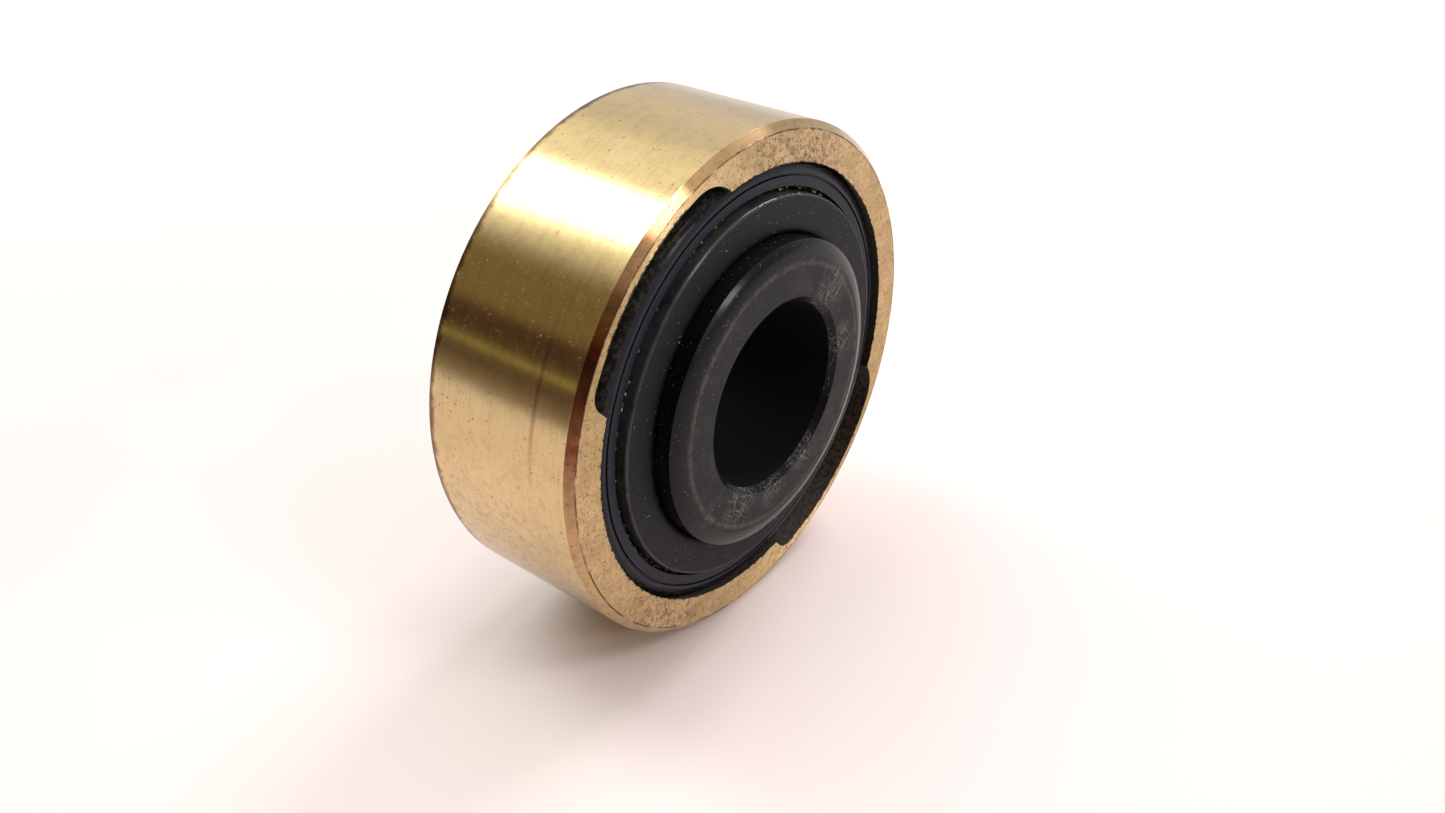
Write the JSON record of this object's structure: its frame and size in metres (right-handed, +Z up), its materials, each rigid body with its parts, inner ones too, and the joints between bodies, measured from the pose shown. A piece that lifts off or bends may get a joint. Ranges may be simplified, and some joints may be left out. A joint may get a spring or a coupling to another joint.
{
  "type": "cam follower",
  "caption": "Self-aligning track roller: a brass tyre that swivels on a sealed ball bearing with an extended inner ring and a plain bore for a stud.",
  "frame": {"origin": "centre of the spherical seat, which is also the middle of the bore and of the ball row", "axes": "+Y along the axis of rotation, from the front face with the loading slots towards the back face; +Z up; +X to the right seen from the front"},
  "size_m": [0.0784, 0.035, 0.0784],
  "materials": {
    "brass": "turned, worn and spotted",
    "black_oxide_steel": "black oxide, satin",
    "black_flinger": "black oxide, dull",
    "cage_steel": "pressed strip",
    "seal_steel": "pressed sheet",
    "nitrile_rubber": "moulded",
    "ball_steel": "ground and polished"
  },
  "bodies": {
    "inner_race": {"inner_ring": "black_oxide_steel", "flinger_front": "black_flinger", "flinger_back": "black_flinger"},
    "outer_race": {"outer_ring": "black_oxide_steel", "seal_disc_front": "seal_steel", "seal_disc_back": "seal_steel", "seal_lip_front": "nitrile_rubber", "seal_lip_back": "nitrile_rubber"},
    "roller": {"tyre": "brass"},
    "cage": {"cage_front": "cage_steel", "cage_back": "cage_steel", "cage_rivets": "cage_steel"},
    "ball_1": {"ball_1": "ball_steel"},
    "ball_2": {"ball_2": "ball_steel"},
    "ball_3": {"ball_3": "ball_steel"},
    "ball_4": {"ball_4": "ball_steel"},
    "ball_5": {"ball_5": "ball_steel"},
    "ball_6": {"ball_6": "ball_steel"},
    "ball_7": {"ball_7": "ball_steel"},
    "ball_8": {"ball_8": "ball_steel"},
    "ball_9": {"ball_9": "ball_steel"}
  },
  "joints": [
    {"name": "outer_spin", "type": "hinge", "parent": "inner_race", "child": "outer_race", "pos_m": [0, 0, 0], "axis": [0, 1, 0], "continuous": true},
    {"name": "seat_swivel", "type": "hinge", "parent": "outer_race", "child": "roller", "pos_m": [0, 0, 0], "axis": [-0.6494, 0, 0.7604], "range_deg": [-90, 90]},
    {"name": "cage_spin", "type": "hinge", "parent": "inner_race", "child": "cage", "pos_m": [0, 0, 0], "axis": [0, 1, 0], "continuous": true},
    {"name": "ball_1_spin", "type": "hinge", "parent": "cage", "child": "ball_1", "pos_m": [0.0267, 0, 0], "axis": [0, 1, 0], "continuous": true},
    {"name": "ball_2_spin", "type": "hinge", "parent": "cage", "child": "ball_2", "pos_m": [0.02045, 0, 0.01716], "axis": [0, 1, 0], "continuous": true},
    {"name": "ball_3_spin", "type": "hinge", "parent": "cage", "child": "ball_3", "pos_m": [0.00464, 0, 0.02629], "axis": [0, 1, 0], "continuous": true},
    {"name": "ball_4_spin", "type": "hinge", "parent": "cage", "child": "ball_4", "pos_m": [-0.01335, 0, 0.02312], "axis": [0, 1, 0], "continuous": true},
    {"name": "ball_5_spin", "type": "hinge", "parent": "cage", "child": "ball_5", "pos_m": [-0.02509, 0, 0.00913], "axis": [0, 1, 0], "continuous": true},
    {"name": "ball_6_spin", "type": "hinge", "parent": "cage", "child": "ball_6", "pos_m": [-0.02509, 0, -0.00913], "axis": [0, 1, 0], "continuous": true},
    {"name": "ball_7_spin", "type": "hinge", "parent": "cage", "child": "ball_7", "pos_m": [-0.01335, 0, -0.02312], "axis": [0, 1, 0], "continuous": true},
    {"name": "ball_8_spin", "type": "hinge", "parent": "cage", "child": "ball_8", "pos_m": [0.00464, 0, -0.02629], "axis": [0, 1, 0], "continuous": true},
    {"name": "ball_9_spin", "type": "hinge", "parent": "cage", "child": "ball_9", "pos_m": [0.02045, 0, -0.01716], "axis": [0, 1, 0], "continuous": true}
  ],
  "couplings": [
    {"joint": "cage_spin", "follows": "outer_spin", "ratio": 0.60406},
    {"joint": "ball_1_spin", "follows": "outer_spin", "ratio": 2.2985},
    {"joint": "ball_2_spin", "follows": "outer_spin", "ratio": 2.2985},
    {"joint": "ball_3_spin", "follows": "outer_spin", "ratio": 2.2985},
    {"joint": "ball_4_spin", "follows": "outer_spin", "ratio": 2.2985},
    {"joint": "ball_5_spin", "follows": "outer_spin", "ratio": 2.2985},
    {"joint": "ball_6_spin", "follows": "outer_spin", "ratio": 2.2985},
    {"joint": "ball_7_spin", "follows": "outer_spin", "ratio": 2.2985},
    {"joint": "ball_8_spin", "follows": "outer_spin", "ratio": 2.2985},
    {"joint": "ball_9_spin", "follows": "outer_spin", "ratio": 2.2985}
  ]
}
